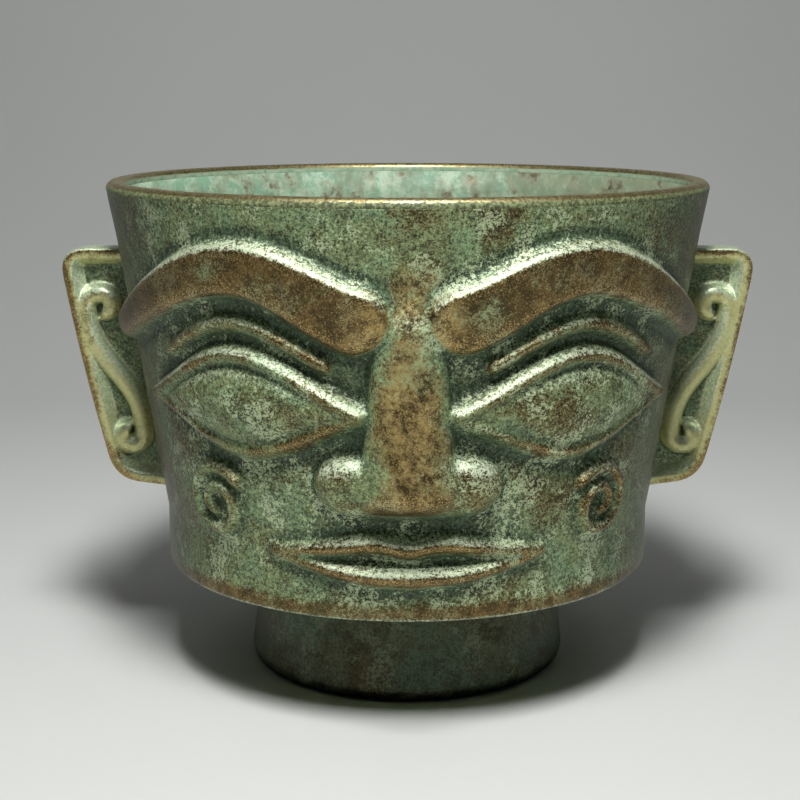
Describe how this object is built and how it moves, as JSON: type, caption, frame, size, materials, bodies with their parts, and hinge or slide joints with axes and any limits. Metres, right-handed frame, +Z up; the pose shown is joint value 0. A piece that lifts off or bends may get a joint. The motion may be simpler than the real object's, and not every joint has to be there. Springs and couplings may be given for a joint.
{
  "type": "tea cup",
  "caption": "Flared bronze tea cup on a round foot, with a mask face in relief, an ear plate at each side and a bare metal lip, for holding and drinking tea.",
  "frame": {"origin": "middle of the foot's underside, on the surface that the cup stands on", "axes": "+Z up along the cup's axis; the face looks along -Y; +X towards the ear at the right of someone facing the cup"},
  "size_m": [0.0936, 0.08, 0.0664],
  "materials": {
    "patinated_bronze": "satin bronze under green patina",
    "bare_bronze": "rubbed satin"
  },
  "bodies": {
    "root": {"cup_body": "patinated_bronze", "rim_band": "bare_bronze", "foot_ring": "patinated_bronze", "right_ear": "patinated_bronze", "left_ear": "patinated_bronze"}
  },
  "joints": []
}
